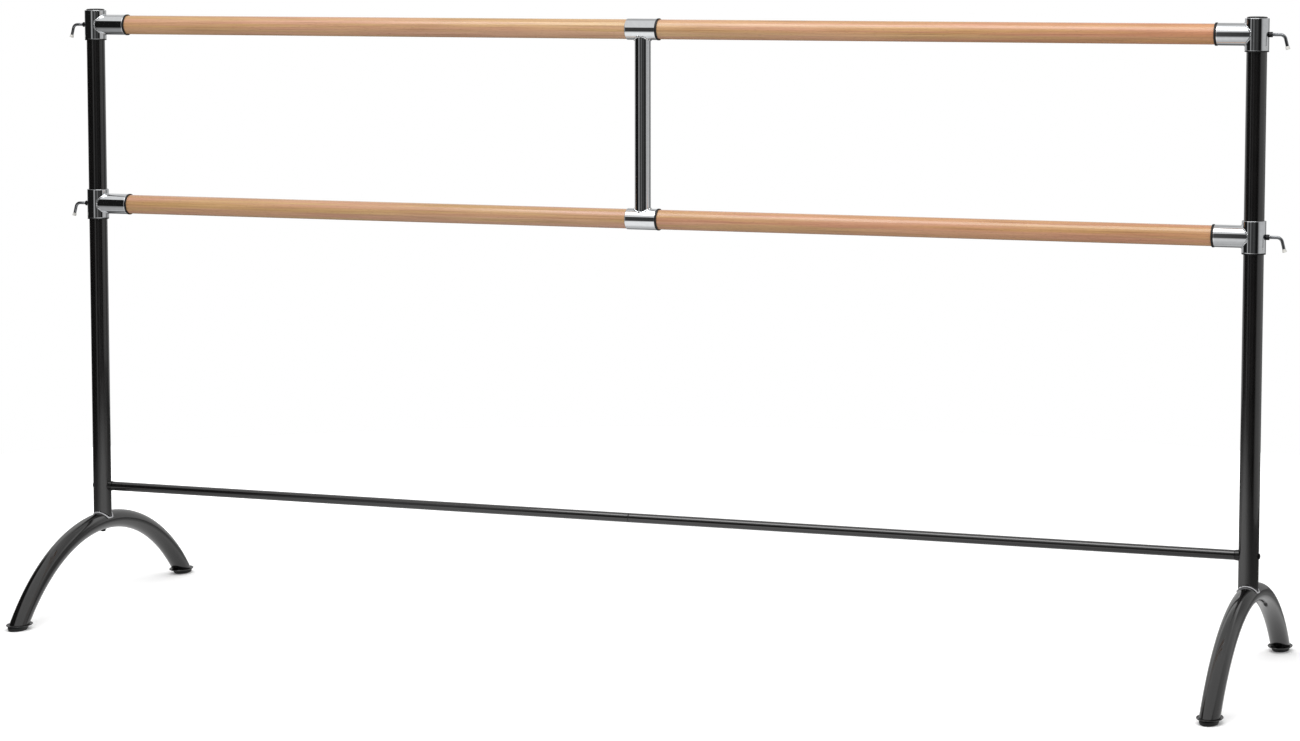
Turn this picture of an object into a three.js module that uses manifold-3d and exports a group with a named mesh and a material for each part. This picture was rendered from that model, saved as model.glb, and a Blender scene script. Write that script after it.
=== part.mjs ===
// A free-standing double ballet barre, in millimetres: +X along the bars, +Y to the rear, +Z up,
// origin on the floor midway between the four feet.
//
// Two posts stand on arched legs and are tied together low down by a two-part rod. Each post carries two
// chrome tees that slide on nylon liners and are clamped by L-shaped hand screws. The tees hold two wooden
// barres, one above the other, and each barre is two lengths of beech that meet in a chrome centre coupling.
import * as THREE from "three";
import { mergeVertices } from "three/addons/utils/BufferGeometryUtils.js";
import Module from "manifold-3d";

const wasm = await Module();
wasm.setup();

// ---------------------------------------------------------------------------------------- sizes

const GAP = 0.3; // clearance between pieces that touch

const POST_SPACING = 2438; // 8 ft between the posts' axes
const POST = { radius: 19, wall: 1.5, top: 1250 };
const PLUG = { depth: 14, lead: 1, edge: 1.6, shoulder: 3, dome: 3.6 };
const BAR_RADIUS = 19.5;
const BAR_HEIGHTS = { upper: 1220, lower: 845 };

// The leg is a tube bent to one arc, centred below the floor.
const ARCH = { radius: 19, wall: 2, bend: 450, crown: 171 };
const ARCH_STEP = THREE.MathUtils.degToRad(6.5);
const ARCH_STEPS_EACH_SIDE = 8;

const FOOT = { sole: 8, flange: 3, margin: 5, soleMargin: -1.5, spigot: 24 };
const SADDLE = { radius: 22, thickness: 2.5, skirt: 176 };

const LEG_BOLT = { radius: 4, head: 6, headHeight: 2.6 };
const WASHER = { radius: 7.5, thickness: 1.2, sag: 0.2 };
const INSERT = { bottom: 200, top: 220 };

const TIE = { height: 246, radius: 9.5, bore: 8, solidEnd: 30, chamfer: 0.8, joint: -23, spigot: 120 };
const TIE_BOLT = { radius: 3, head: 5.5, headHeight: 2.2, grip: 20 };
const TIE_SPACER = { radius: 10.5, length: 6 };

const TEE = { radius: 22.5, bore: 21, half: 30 };
const SOCKET = { radius: 21, bore: 19.8, mouth: 73, floor: 24 };
const LINER = { bore: 19.4, flange: 2 };
const BAR_END_GAP = 3; // between a barre's end and its socket's floor
const BARS_MEET = 1; // half the space between two lengths inside the coupling
const RING = { radius: 21.75, width: 4 };
const COUPLING = { x: 6, half: 31.5, strut: 16, strutWall: 1.2, vent: 4 };

const SCREW = { radius: 3, bendFrom: 43, bend: 8, lean: THREE.MathUtils.degToRad(14), drop: 18 };
const NUT = { acrossFlats: 10, height: 6 };
const TIP = { radius: 4.3, length: 6, bore: 4 };

const CLEAR_HOLE = 0.3; // a bolt hole's radius over its bolt's
const REACH = 500; // a cutter's length, past the end of whatever it cuts
const SIDES = 28; // of a post, a bar or a tee
const SMALL_SIDES = 12; // of a bolt or a screw
const ARCH_SIDES = 20; // of a leg, a tie rod or a ring

// ------------------------------------------------------------------------------------ materials

const paint = new THREE.MeshStandardMaterial({ color: 0x1b1b1d, roughness: 0.3, metalness: 0.0 });
const chrome = new THREE.MeshStandardMaterial({ color: 0xd9dbde, roughness: 0.07, metalness: 1.0 });
const beech = new THREE.MeshStandardMaterial({ color: 0xcfa076, roughness: 0.45, metalness: 0.0 });
const rubber = new THREE.MeshStandardMaterial({ color: 0x141414, roughness: 0.75, metalness: 0.0 });
const nylon = new THREE.MeshStandardMaterial({ color: 0x1c1b1b, roughness: 0.5, metalness: 0.0 });
const zinc = new THREE.MeshStandardMaterial({ color: 0x9c9ea0, roughness: 0.3, metalness: 1.0 });
const blackSteel = new THREE.MeshStandardMaterial({ color: 0x1d1d1f, roughness: 0.4, metalness: 0.8 });
const greyPlastic = new THREE.MeshStandardMaterial({ color: 0x9a989b, roughness: 0.4, metalness: 0.0 });
const clearPlastic = new THREE.MeshStandardMaterial({ color: 0xdcdcd8, roughness: 0.3, metalness: 0.0 });

// -------------------------------------------------------------------------- joining and cutting

function solidOf(geometry) {
  const bare = geometry.clone();
  bare.deleteAttribute("normal");
  bare.deleteAttribute("uv");
  const merged = mergeVertices(bare, 1e-4);
  return new wasm.Manifold(
    new wasm.Mesh({
      numProp: 3,
      vertProperties: merged.attributes.position.array,
      triVerts: new Uint32Array(merged.index.array),
    }),
  );
}

function geometryOf(solid) {
  const mesh = solid.getMesh();
  const geometry = new THREE.BufferGeometry();
  geometry.setAttribute("position", new THREE.BufferAttribute(mesh.vertProperties, 3));
  geometry.setIndex(new THREE.BufferAttribute(mesh.triVerts, 1));
  geometry.computeVertexNormals();
  return geometry;
}

const join = (...parts) => geometryOf(parts.map(solidOf).reduce((a, b) => a.add(b)));
const cut = (...parts) => geometryOf(parts.map(solidOf).reduce((a, b) => a.subtract(b)));
const common = (...parts) => geometryOf(parts.map(solidOf).reduce((a, b) => a.intersect(b)));

// --------------------------------------------------------------------------------- basic shapes

// A round bar along Z.
function barZ(radius, bottom, top, sides = SIDES) {
  return new THREE.CylinderGeometry(radius, radius, top - bottom, sides)
    .rotateX(Math.PI / 2)
    .translate(0, 0, (bottom + top) / 2);
}

// A round bar along X.
const barX = (radius, from, to, sides = SIDES) => barZ(radius, from, to, sides).rotateY(Math.PI / 2);

// A piece turned about Z from [radius, z] points, which start and end on the axis or close on themselves.
function turned(points, sides = SIDES) {
  const profile = points.map(([radius, z]) => new THREE.Vector2(radius, z));
  return new THREE.LatheGeometry(profile, sides).rotateX(Math.PI / 2);
}

// A round tube along Z.
function tubeZ(outer, inner, bottom, top, sides = SIDES) {
  const section = [[inner, bottom], [outer, bottom], [outer, top], [inner, top], [inner, bottom]];
  return turned(section, sides);
}

function tubeX(outer, inner, from, to, sides = SIDES) {
  return tubeZ(outer, inner, from, to, sides).rotateY(Math.PI / 2);
}

// A box given by its centre and its size.
const block = (centre, size) => new THREE.BoxGeometry(...size).translate(...centre);

// A pan head on a plain shank along Z: the head's underside is at z 0, and the shank points up.
function buttonBolt(bolt, length) {
  return turned(
    [
      [0, -bolt.headHeight],
      [bolt.head * 0.55, -bolt.headHeight],
      [bolt.head * 0.9, -bolt.headHeight * 0.6],
      [bolt.head, 0],
      [bolt.radius, 0],
      [bolt.radius, length],
      [0, length],
    ],
    SMALL_SIDES,
  );
}

// ------------------------------------------------------------------------------------ arched leg

const ARCH_CENTRE = ARCH.crown - ARCH.bend; // height of the bend's centre, below the floor

// The leg's centreline, between two angles from its crown; positive angles lie towards +Y.
class ArchLine extends THREE.Curve {
  constructor(from, to) {
    super();
    this.from = from;
    this.to = to;
  }

  getPoint(t, target = new THREE.Vector3()) {
    const angle = THREE.MathUtils.lerp(this.from, this.to, t);
    return target.set(0, ARCH.bend * Math.sin(angle), ARCH_CENTRE + ARCH.bend * Math.cos(angle));
  }
}

// A round bar, or a tube if it has a bore, that follows the leg's centreline between two steps of the bend.
function archBar(radius, fromStep, toStep, bore = 0) {
  const section = new THREE.Shape().absarc(0, 0, radius, 0, 2 * Math.PI);
  if (bore) section.holes.push(new THREE.Path().absarc(0, 0, bore, 0, 2 * Math.PI));
  return new THREE.ExtrudeGeometry(section, {
    steps: toStep - fromStep,
    curveSegments: ARCH_SIDES / 2,
    extrudePath: new ArchLine(fromStep * ARCH_STEP, toStep * ARCH_STEP),
  });
}

const CROWN_STEPS = 1; // the bend's steps each side of the crown that the post's seat covers
const crownBar = (radius) => archBar(radius, -CROWN_STEPS, CROWN_STEPS);

const FOOT_TOP = FOOT.sole + FOOT.flange + GAP; // where the leg's tube is cut level
const FOOT_Y = Math.sqrt(ARCH.bend ** 2 - (FOOT_TOP - ARCH_CENTRE) ** 2);
const FOOT_LENGTH = (ARCH.radius * ARCH.bend) / (FOOT_TOP - ARCH_CENTRE); // half the cut tube's length
const SOLE_Y = Math.sqrt(ARCH.bend ** 2 - (FOOT.sole / 2 - ARCH_CENTRE) ** 2);

const legBoltHole = () => barZ(LEG_BOLT.radius + CLEAR_HOLE, 0, REACH, SMALL_SIDES);

function archLeg() {
  const tube = archBar(ARCH.radius, -ARCH_STEPS_EACH_SIDE, ARCH_STEPS_EACH_SIDE, ARCH.radius - ARCH.wall);
  const belowFeet = block([0, 0, FOOT_TOP - REACH], [REACH, 2 * REACH, 2 * REACH]);
  return cut(tube, belowFeet, legBoltHole());
}

// The plate and the oval spigot that close the tube's end, for the foot at +Y.
function footCap() {
  const lastStep = ARCH_STEPS_EACH_SIDE;
  const inside = archBar(ARCH.radius - ARCH.wall - GAP, lastStep - 2, lastStep);
  const spigotBox = block([0, FOOT_Y, FOOT_TOP + FOOT.spigot / 2 - GAP], [REACH, REACH, FOOT.spigot]);
  const flange = oval(FOOT.margin, FOOT_Y, FOOT.sole + GAP, FOOT.sole + FOOT.flange);
  return join(common(inside, spigotBox), flange);
}

// The rubber sole under the foot's plate.
const footPad = () => oval(FOOT.soleMargin, SOLE_Y, 0, FOOT.sole);

// A level oval plate across the leg's end, wider than the tube by the margin.
function oval(margin, y, bottom, top) {
  return barZ(1, bottom, top, ARCH_SIDES)
    .scale(ARCH.radius + margin, FOOT_LENGTH + margin, 1)
    .translate(0, y, 0);
}

// ------------------------------------------------------------------------- post and its fastening

function post() {
  const tube = tubeZ(POST.radius, POST.radius - POST.wall, ARCH.crown, POST.top);
  const seat = crownBar(ARCH.radius + SADDLE.thickness + 2 * GAP);
  const bolt = TIE_BOLT.radius + CLEAR_HOLE;
  const tieHole = barX(bolt, -REACH, REACH, SMALL_SIDES).translate(0, 0, TIE.height);
  return cut(tube, seat, tieHole);
}

function postPlug() {
  const stem = POST.radius - POST.wall - GAP;
  return turned([
    [0, -PLUG.depth],
    [stem - PLUG.lead, -PLUG.depth],
    [stem, 2 * PLUG.lead - PLUG.depth],
    [stem, GAP],
    [POST.radius, GAP],
    [POST.radius, PLUG.edge],
    [POST.radius - PLUG.edge, PLUG.shoulder],
    [0, PLUG.dome],
  ]).translate(0, 0, POST.top);
}

// The curved gasket between the post's coped end and the leg.
function saddle() {
  const shell = cut(crownBar(ARCH.radius + GAP + SADDLE.thickness), crownBar(ARCH.radius + GAP));
  const outline = barZ(SADDLE.radius, SADDLE.skirt, REACH);
  return cut(common(shell, outline), legBoltHole());
}

// The curved washer between the bolt's head and the leg's underside.
function legWasher() {
  const shell = cut(crownBar(ARCH.radius + GAP + WASHER.thickness), crownBar(ARCH.radius + GAP));
  const ring = tubeZ(WASHER.radius, LEG_BOLT.radius + CLEAR_HOLE, 0, ARCH.crown, SMALL_SIDES);
  return common(shell, ring);
}

const LEG_BOLT_SEAT = ARCH.crown - ARCH.radius - WASHER.thickness - WASHER.sag - 2 * GAP;

const legBolt = () => buttonBolt(LEG_BOLT, INSERT.top - LEG_BOLT_SEAT);

function postInsert() {
  const outer = POST.radius - POST.wall - GAP;
  return tubeZ(outer, LEG_BOLT.radius + CLEAR_HOLE, INSERT.bottom, INSERT.top);
}

// ---------------------------------------------------------------------------------------- tie rod

// A tie rod's half: tapped and solid at the post, bored at the middle for the joining spigot.
function tieRod(length) {
  const tapped = TIE_BOLT.radius + CLEAR_HOLE;
  return turned(
    [
      [tapped, 0],
      [TIE.radius, 0],
      [TIE.radius, length - TIE.chamfer],
      [TIE.radius - TIE.chamfer, length],
      [TIE.bore, length],
      [TIE.bore, TIE.solidEnd],
      [tapped, TIE.solidEnd],
      [tapped, 0],
    ],
    ARCH_SIDES,
  ).rotateY(Math.PI / 2);
}

// The coped spacer between a post and its tie rod, on the post's inner side at -X.
function tieSpacer() {
  const start = -POST.radius - TIE_SPACER.length;
  const hole = TIE_BOLT.radius + CLEAR_HOLE;
  const sleeve = tubeX(TIE_SPACER.radius, hole, start, start + POST.radius, ARCH_SIDES);
  return cut(sleeve, barZ(POST.radius + GAP, -REACH, REACH));
}

const TIE_START = POST.radius + TIE_SPACER.length + GAP; // from the post's axis to the rod's end
const TIE_SEAT = POST.radius + GAP; // from the post's axis to the underside of the bolt's head
const tieBolt = () => buttonBolt(TIE_BOLT, TIE_SEAT + TIE_START + TIE_BOLT.grip).rotateY(-Math.PI / 2);

// -------------------------------------------------------------------------------- tees and barres

const screwHole = () => barX(SCREW.radius + CLEAR_HOLE, 0, REACH, SMALL_SIDES);

// A tee: a sleeve round the post, with the barre's socket welded to its inner side at -X.
function tee() {
  const outside = join(
    barZ(TEE.radius, -TEE.half, TEE.half),
    barX(SOCKET.radius, -SOCKET.mouth, 0),
  );
  return cut(
    outside,
    barZ(TEE.bore, -REACH, REACH),
    barX(SOCKET.bore, -REACH, -SOCKET.floor),
    screwHole(),
  );
}

// The nylon liner that runs on the post, with a lip under the sleeve.
function teeLiner() {
  const outer = TEE.bore - GAP;
  const bottom = -TEE.half - GAP;
  const body = turned([
    [LINER.bore, bottom - LINER.flange],
    [TEE.radius, bottom - LINER.flange],
    [TEE.radius, bottom],
    [outer, bottom],
    [outer, TEE.half - 1],
    [LINER.bore, TEE.half - 1],
    [LINER.bore, bottom - LINER.flange],
  ]);
  return cut(body, screwHole());
}

const barRing = () => tubeX(RING.radius, BAR_RADIUS + GAP, 0, RING.width, ARCH_SIDES);

// The centre coupling: two sleeves joined by a strut, with vents from the strut into the sleeves.
function centreCoupling() {
  const { upper, lower } = BAR_HEIGHTS;
  const sleeve = (radius, half, z) => barX(radius, -half, half).translate(0, 0, z);
  const outside = join(
    sleeve(SOCKET.radius, COUPLING.half, upper),
    sleeve(SOCKET.radius, COUPLING.half, lower),
    barZ(COUPLING.strut, lower, upper, ARCH_SIDES),
  );
  return cut(
    outside,
    barZ(COUPLING.strut - COUPLING.strutWall, lower + SOCKET.radius, upper - SOCKET.radius, ARCH_SIDES),
    sleeve(SOCKET.bore, REACH, upper),
    sleeve(SOCKET.bore, REACH, lower),
    barZ(COUPLING.vent, lower, upper, SMALL_SIDES),
  );
}

// ------------------------------------------------------------------------------------ hand screws

const NUT_FROM = TEE.radius + GAP;
const HANDLE_DIRECTION = new THREE.Vector3(Math.sin(SCREW.lean), 0, -Math.cos(SCREW.lean));

// The corners of the L-shaped screw's centreline: its tip against the post, and the ends of its bend.
const SCREW_START = new THREE.Vector3(POST.radius + GAP, 0, 0);
const BEND_START = new THREE.Vector3(SCREW.bendFrom, 0, 0);
const BEND_CORNER = new THREE.Vector3(SCREW.bendFrom + SCREW.bend, 0, 0);
const BEND_END = BEND_CORNER.clone().addScaledVector(HANDLE_DIRECTION, SCREW.bend);
const HANDLE_END = BEND_END.clone().addScaledVector(HANDLE_DIRECTION, SCREW.drop);

function handScrew() {
  const line = new THREE.CurvePath();
  line.add(new THREE.LineCurve3(SCREW_START, BEND_START));
  line.add(new THREE.QuadraticBezierCurve3(BEND_START, BEND_CORNER, BEND_END));
  line.add(new THREE.LineCurve3(BEND_END, HANDLE_END));
  const section = new THREE.Shape().absarc(0, 0, SCREW.radius, 0, 2 * Math.PI);
  const curveSegments = SMALL_SIDES / 2;
  return new THREE.ExtrudeGeometry(section, { steps: 12, curveSegments, extrudePath: line });
}

// The plastic cap on the handle's end, modelled along -Z and then leaned with the handle.
function screwTip() {
  const wall = SCREW.radius + GAP;
  const end = TIP.bore - TIP.length;
  return turned(
    [
      [0, end],
      [TIP.radius, end],
      [TIP.radius, end + TIP.length / 3],
      [wall + GAP, TIP.bore],
      [wall, TIP.bore],
      [wall, -GAP],
      [0, -GAP],
    ],
    SMALL_SIDES,
  )
    .rotateY(-SCREW.lean)
    .translate(HANDLE_END.x, 0, HANDLE_END.z);
}

function lockNut() {
  const corner = NUT.acrossFlats / 2 / Math.cos(Math.PI / 6);
  return cut(
    barX(corner, NUT_FROM, NUT_FROM + NUT.height, 6),
    screwHole(),
  );
}

// --------------------------------------------------------------------------------------- assembly

const barre = new THREE.Group();
barre.name = "double_ballet_barre";

function place(parent, name, geometry, material, x = 0, y = 0, z = 0) {
  const mesh = new THREE.Mesh(geometry, material);
  mesh.name = name;
  mesh.position.set(x, y, z);
  parent.add(mesh);
  return mesh;
}

// One end of the barre in its own frame: the post's axis is Z, and +X points away from the other post.
// The left end is the right end turned half round, so its front foot is the one at its own +Y.
function addEnd(side, sign) {
  const end = new THREE.Group();
  end.position.x = (sign * POST_SPACING) / 2;
  end.rotation.z = sign < 0 ? Math.PI : 0;
  barre.add(end);

  place(end, `${side}_arch_leg`, archLeg(), paint);
  for (const [where, rear] of [["front", -1], ["rear", 1]]) {
    const foot = new THREE.Group();
    foot.rotation.z = rear * sign < 0 ? Math.PI : 0;
    end.add(foot);
    place(foot, `${side}_${where}_foot_cap`, footCap(), nylon);
    place(foot, `${side}_${where}_foot_pad`, footPad(), rubber);
  }

  place(end, `${side}_post`, post(), paint);
  place(end, `${side}_post_plug`, postPlug(), nylon);
  place(end, `${side}_post_insert`, postInsert(), zinc);
  place(end, `${side}_saddle_gasket`, saddle(), greyPlastic);
  place(end, `${side}_leg_washer`, legWasher(), blackSteel);
  place(end, `${side}_leg_bolt`, legBolt(), blackSteel, 0, 0, LEG_BOLT_SEAT);
  place(end, `${side}_tie_spacer`, tieSpacer(), nylon, 0, 0, TIE.height);
  place(end, `${side}_tie_bolt`, tieBolt(), blackSteel, TIE_SEAT, 0, TIE.height);

  for (const [level, z] of Object.entries(BAR_HEIGHTS)) {
    place(end, `${level}_${side}_tee`, tee(), chrome, 0, 0, z);
    place(end, `${level}_${side}_tee_liner`, teeLiner(), nylon, 0, 0, z);
    place(end, `${level}_${side}_bar_ring`, barRing(), rubber, -SOCKET.mouth - GAP - RING.width, 0, z);
    place(end, `${level}_${side}_lock_nut`, lockNut(), blackSteel, 0, 0, z);
    place(end, `${level}_${side}_hand_screw`, handScrew(), zinc, 0, 0, z);
    place(end, `${level}_${side}_screw_tip`, screwTip(), clearPlastic, 0, 0, z);
  }
}

addEnd("left", -1);
addEnd("right", 1);

const tieEnd = POST_SPACING / 2 - TIE_START;
const leftTieRod = tieRod(tieEnd + TIE.joint - GAP);
place(barre, "left_tie_rod", leftTieRod, paint, -tieEnd, 0, TIE.height);
const rightTieRod = tieRod(tieEnd - TIE.joint - GAP).rotateY(Math.PI);
place(barre, "right_tie_rod", rightTieRod, paint, tieEnd, 0, TIE.height);
const tieSpigot = barX(TIE.bore - GAP, -TIE.spigot / 2, TIE.spigot / 2, ARCH_SIDES);
place(barre, "tie_rod_spigot", tieSpigot, zinc, TIE.joint, 0, TIE.height);

place(barre, "centre_coupling", centreCoupling(), chrome, COUPLING.x, 0, 0);

const barEnd = POST_SPACING / 2 - SOCKET.floor - BAR_END_GAP;
for (const [level, z] of Object.entries(BAR_HEIGHTS)) {
  place(barre, `${level}_left_bar`, barX(BAR_RADIUS, -barEnd, COUPLING.x - BARS_MEET), beech, 0, 0, z);
  place(barre, `${level}_right_bar`, barX(BAR_RADIUS, COUPLING.x + BARS_MEET, barEnd), beech, 0, 0, z);
  const ringX = COUPLING.x + COUPLING.half + GAP;
  place(barre, `${level}_centre_bar_ring`, barRing(), rubber, ringX, 0, z);
}

export default barre;
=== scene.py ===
"""The looks of a free-standing double ballet barre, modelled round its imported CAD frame.

Lengths are in metres, with MM for millimetres. +X runs along the barres, +Y to the rear, +Z up, and the
floor is z 0. A stand of two posts on arched legs carries a frame of two beech barres in chrome tees, which
slides on the posts.
"""

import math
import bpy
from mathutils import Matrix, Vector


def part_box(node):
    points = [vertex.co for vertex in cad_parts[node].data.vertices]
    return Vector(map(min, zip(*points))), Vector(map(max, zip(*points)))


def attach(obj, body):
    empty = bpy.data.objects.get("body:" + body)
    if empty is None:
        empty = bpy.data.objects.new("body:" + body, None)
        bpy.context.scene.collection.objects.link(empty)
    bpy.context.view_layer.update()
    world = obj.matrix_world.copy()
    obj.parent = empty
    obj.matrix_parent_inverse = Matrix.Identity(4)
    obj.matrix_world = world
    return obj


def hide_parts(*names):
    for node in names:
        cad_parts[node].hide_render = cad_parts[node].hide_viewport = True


bl_info = {
    "name": "Double Ballet Barre",
    "version": (1, 0, 0),
    "blender": (4, 5, 0),
    "location": "3D View > Sidebar > Barre",
    "description": "Models the visible pieces of a free-standing double ballet barre round its CAD frame",
    "category": "Add Mesh",
}

import bmesh
import bpy
from mathutils import Matrix, Vector

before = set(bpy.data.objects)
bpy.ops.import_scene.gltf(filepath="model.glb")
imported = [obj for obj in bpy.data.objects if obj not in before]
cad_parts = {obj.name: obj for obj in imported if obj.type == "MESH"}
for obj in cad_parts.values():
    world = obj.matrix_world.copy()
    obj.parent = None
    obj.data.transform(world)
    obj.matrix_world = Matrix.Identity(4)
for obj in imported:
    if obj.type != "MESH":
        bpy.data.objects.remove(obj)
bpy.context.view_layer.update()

MM = 0.001
SIDES = {"left": -1, "right": 1}
LEVELS = ("upper", "lower")
TEES = [(level, side) for level in LEVELS for side in SIDES]

ROUND = 96  # segments round a post, a barre or a tee
SMALL_ROUND = 48  # segments round a bolt, a screw or a tie rod
NUT_ROUND = 72  # segments round a nut before its six flats are pressed in
SIXTH = math.tau / 6  # a hexagon's share of a turn
SHARP = math.radians(38)  # edges turned by more than this are shaded sharp
COLLAR = 2.5 * MM  # from a tube's end to the extra ring that keeps its long faces evenly shaded


# ------------------------------------------------------------------------------ places in the frame


def middle(node):
    """The centre of a CAD node's box."""
    low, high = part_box(node)
    return (low + high) / 2


def half_size(node):
    """Half of a CAD node's box along each axis."""
    low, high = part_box(node)
    return (high - low) / 2


POST_RADIUS = half_size("left_post").x
POST_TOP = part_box("left_post")[1].z
BAR_RADIUS = half_size("upper_left_bar").z
LEG_RADIUS = half_size("left_arch_leg").x
LEG_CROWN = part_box("left_arch_leg")[1].z - LEG_RADIUS
LEG_BEND = 450 * MM  # radius of the leg's centreline
LEG_CENTRE = LEG_CROWN - LEG_BEND
LEG_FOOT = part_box("left_arch_leg")[0].z  # height where the leg's tube is cut level
SLEEVE_RADIUS = half_size("upper_left_tee_liner").x
SLEEVE_HALF = half_size("upper_left_tee").z
SOCKET_RADIUS = half_size("centre_coupling").y
TIE_HEIGHT = middle("left_tie_rod").z
TIE_RADIUS = half_size("left_tie_rod").z

# Sizes that no box of the frame gives.
GAP = 0.3 * MM  # clearance between neighbouring pieces
POST_WALL = 1.5 * MM
PLATE = 3 * MM  # thickness of a foot cap's plate
WASHER = 1.2 * MM  # thickness of the leg's washer
WASHER_BORE = 4.3 * MM
LEG_BOLT_HEAD = (6 * MM, 2.6 * MM)  # radius and height of a button head
LEG_BOLT_KEY = (2.5 * MM, 1.6 * MM)  # reach and depth of its hexagon socket
TIE_BOLT_HEAD = (5.5 * MM, 2.2 * MM)
TIE_BOLT_KEY = (2.0 * MM, 1.3 * MM)
TIE_BOLT_HOLE = 3.3 * MM
SPACER_LENGTH = 6 * MM
SLEEVE_BORE = 21 * MM
SOCKET_BORE = 19.8 * MM
SOCKET_MOUTH = 73 * MM
SOCKET_INNER_END = 10 * MM
LINER_BORE = 19.4 * MM
LINER_OUTER = 20.7 * MM
LINER_LIP = 2 * MM
STRUT_RADIUS = 16 * MM
STRUT_WALL = 1.2 * MM
WELD_BITE = 0.6 * MM  # how far a coped tube runs into the chrome it's welded to


def end_place(side, height=0.0):
    """Where one end's pieces go: the post's axis is their Z, and their +X points away from the other post."""
    turn = Matrix.Rotation(math.pi if side == "left" else 0.0, 4, "Z")
    return Matrix.Translation((middle(f"{side}_post").x, 0.0, height)) @ turn


def bar_height(level):
    return middle(f"{level}_left_bar").z


# ----------------------------------------------------------------------------------- user's settings


def srgb(code):
    """A hex colour such as #1c1c1d as linear red, green and blue."""
    channels = [int(code[i : i + 2], 16) / 255 for i in (1, 3, 5)]
    return tuple(c / 12.92 if c <= 0.04045 else ((c + 0.055) / 1.055) ** 2.4 for c in channels)


def length_property(name, description, default):
    return bpy.props.FloatProperty(
        name=name, description=description, default=default, min=0.0, unit="LENGTH", precision=4
    )


def colour_property(name, description, code):
    return bpy.props.FloatVectorProperty(
        name=name, description=description, default=srgb(code), size=3, min=0.0, max=1.0, subtype="COLOR"
    )


class BarreSizes(bpy.types.PropertyGroup):
    rim: length_property("Rim", "Rounding of the rims of tubes and sleeves", 0.8 * MM)
    weld: length_property("Weld", "Half the width of a weld bead on a tee", 1.3 * MM)
    coupling_weld: length_property("Coupling weld", "Half the width of a weld bead on the coupling", 1.9 * MM)
    gasket: length_property("Gasket", "Half the thickness of the bead round a post's foot", 1.3 * MM)
    thread_pitch: length_property("Thread pitch", "Pitch of the hand screws' thread", 1.0 * MM)


class BarreColours(bpy.types.PropertyGroup):
    powder_coat: colour_property("Powder coat", "Black of the posts, the legs and the tie rod", "#0d0c0c")
    chrome: colour_property("Chrome", "Reflected colour of the chrome plate", "#e6e8ea")
    beech_pale: colour_property("Beech, pale", "Early wood of the barres", "#c6a47d")
    beech_deep: colour_property("Beech, deep", "Late wood of the barres", "#a67b55")
    rubber: colour_property("Rubber", "Foot pads and rings", "#0d0d0d")
    nylon: colour_property("Nylon", "Plugs, liners, spacers and foot caps", "#131313")
    zinc: colour_property("Zinc", "Hand screws and hidden inserts", "#8f9194")
    black_steel: colour_property("Black steel", "Nuts and bolts", "#1a1a1c")
    gasket: colour_property("Gasket", "Bead round a post's foot", "#a9a9ac")
    tip: colour_property("Tip", "Caps on the hand screws' handles", "#cbcac5")


class StageSettings(bpy.types.PropertyGroup):
    floor_radius: length_property("Floor radius", "Radius of the pale floor and of the wall round it", 3.1)
    wall_height: length_property("Wall height", "Height of the wall that shows in reflections", 3.2)
    daylight: bpy.props.FloatProperty(
        name="Room light", description="Strength of the soft light from all round", default=1.0, min=0.0
    )
    key_power: bpy.props.FloatProperty(
        name="Key light", description="Power of the overhead softbox", default=60.0, min=0.0, unit="POWER"
    )
    lens: bpy.props.FloatProperty(
        name="Lens", description="Focal length on a 36 mm sensor, in mm", default=95.8, min=1.0
    )


# ------------------------------------------------------------------------------------- mesh helpers


def revolve(profile, segments=ROUND):
    """Turns an outline of (radius, height) points about Z. It runs from axis to axis, or closes on itself."""
    shape = bmesh.new()
    points = [shape.verts.new((radius, 0.0, height)) for radius, height in profile]
    edges = [shape.edges.new(pair) for pair in zip(points, points[1:])]
    bmesh.ops.spin(
        shape,
        geom=points + edges,
        cent=(0, 0, 0),
        axis=(0, 0, 1),
        angle=math.tau,
        steps=segments,
        use_merge=True,
    )
    bmesh.ops.remove_doubles(shape, verts=shape.verts, dist=1e-6)
    bmesh.ops.recalc_face_normals(shape, faces=shape.faces)
    return shape


def soften(shape, width, turned_by=math.radians(50), segments=3):
    """Rounds every edge that turns by more than an angle."""
    edges = [e for e in shape.edges if e.is_manifold and e.calc_face_angle() > turned_by]
    bmesh.ops.bevel(
        shape,
        geom=edges,
        offset=width,
        offset_type="OFFSET",
        affect="EDGES",
        segments=segments,
        profile=0.5,
        material=-1,
        clamp_overlap=True,
    )
    return shape


def collars(radius, start, end):
    """The two extra points near the ends of a tube's wall."""
    inset = min(COLLAR, abs(end - start) / 3) * (1 if end > start else -1)
    return [(radius, start + inset), (radius, end - inset)]


def rod(radius, bottom, top, rim, segments=ROUND):
    """A solid round bar along Z with rounded rims."""
    outline = [(0, bottom), (radius, bottom), *collars(radius, bottom, top), (radius, top), (0, top)]
    return soften(revolve(outline, segments), rim)


def tube(outer, inner, bottom, top, rim, segments=ROUND):
    """An open tube along Z with rounded rims."""
    section = [(inner, bottom), (outer, bottom), *collars(outer, bottom, top), (outer, top), (inner, top)]
    section += [*collars(inner, top, bottom), (inner, bottom)]
    return soften(revolve(section, segments), rim)


def bead(radius, half_width, segments=ROUND, section=16):
    """A ring of round section about Z."""
    shape = bmesh.new()
    upright = Matrix.Translation((radius, 0, 0)) @ Matrix.Rotation(math.pi / 2, 4, "X")
    circle = bmesh.ops.create_circle(
        shape, cap_ends=False, radius=half_width, segments=section, matrix=upright
    )
    bmesh.ops.spin(
        shape,
        geom=circle["verts"] + shape.edges[:],
        cent=(0, 0, 0),
        axis=(0, 0, 1),
        angle=math.tau,
        steps=segments,
        use_merge=True,
    )
    bmesh.ops.recalc_face_normals(shape, faces=shape.faces)
    return shape


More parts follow.
